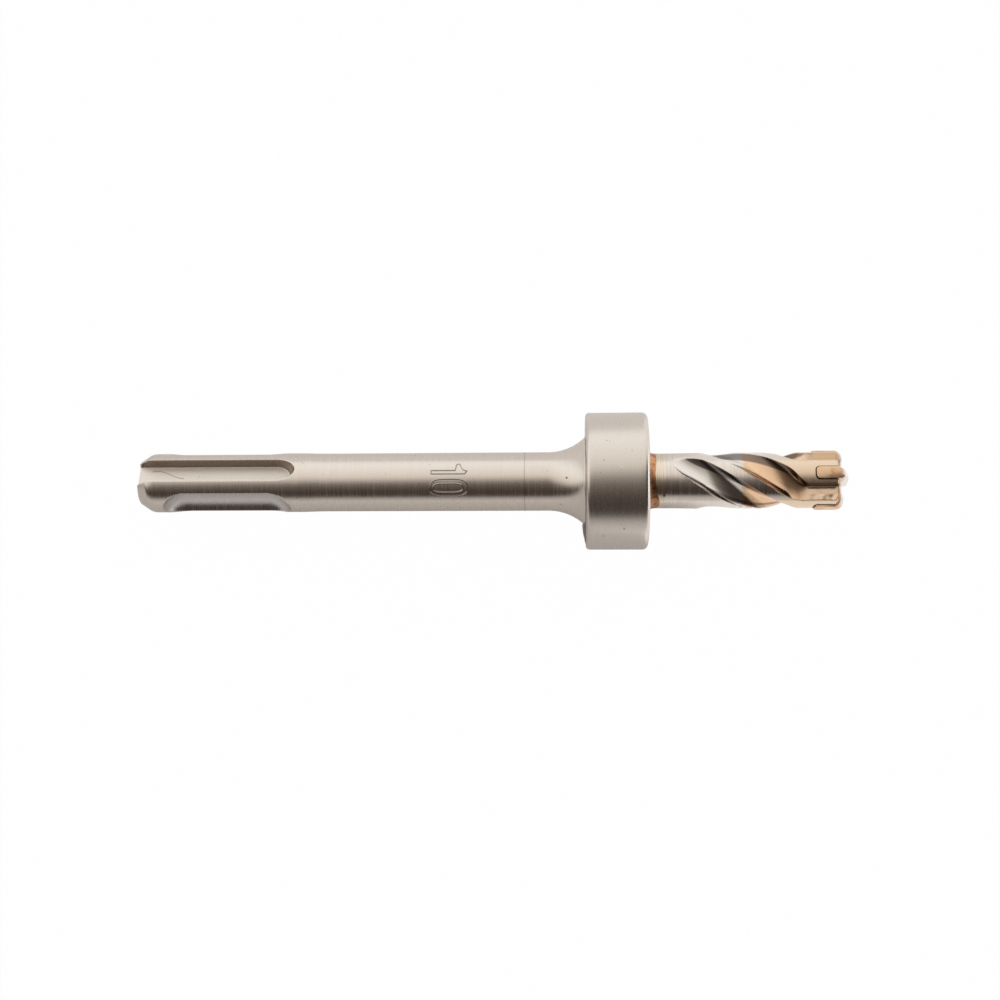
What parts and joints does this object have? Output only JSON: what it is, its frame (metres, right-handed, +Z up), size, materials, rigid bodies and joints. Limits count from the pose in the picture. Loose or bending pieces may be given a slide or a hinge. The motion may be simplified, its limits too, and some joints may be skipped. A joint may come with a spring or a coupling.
{
  "type": "depth stop drill bit",
  "caption": "Short fluted masonry drill bit with a wide brazed stop collar that ends the hole at a set depth, and a slotted hammer-drill shank.",
  "frame": {"origin": "on the surface the bit lies on, under the middle of its bounding box", "axes": "+X along the bit from the shank end to the cutting tip, +Z up from the surface it lies on, +Y to the left when looking towards the tip"},
  "size_m": [0.1188, 0.023, 0.0236],
  "materials": {
    "steel": "turned and milled steel, warm grey satin with fine marks round the axis; copper-coloured heat tint towards the tip",
    "collar_steel": "turned steel, fine-grained satin, a little more matt than the shank",
    "carbide": "ground carbide with a copper-coloured film from brazing"
  },
  "bodies": {
    "root": {"drill_body": "steel", "stop_collar": "collar_steel", "main_cutter_plate": "carbide", "side_cutter_plate_1": "carbide", "side_cutter_plate_2": "carbide"}
  },
  "joints": []
}
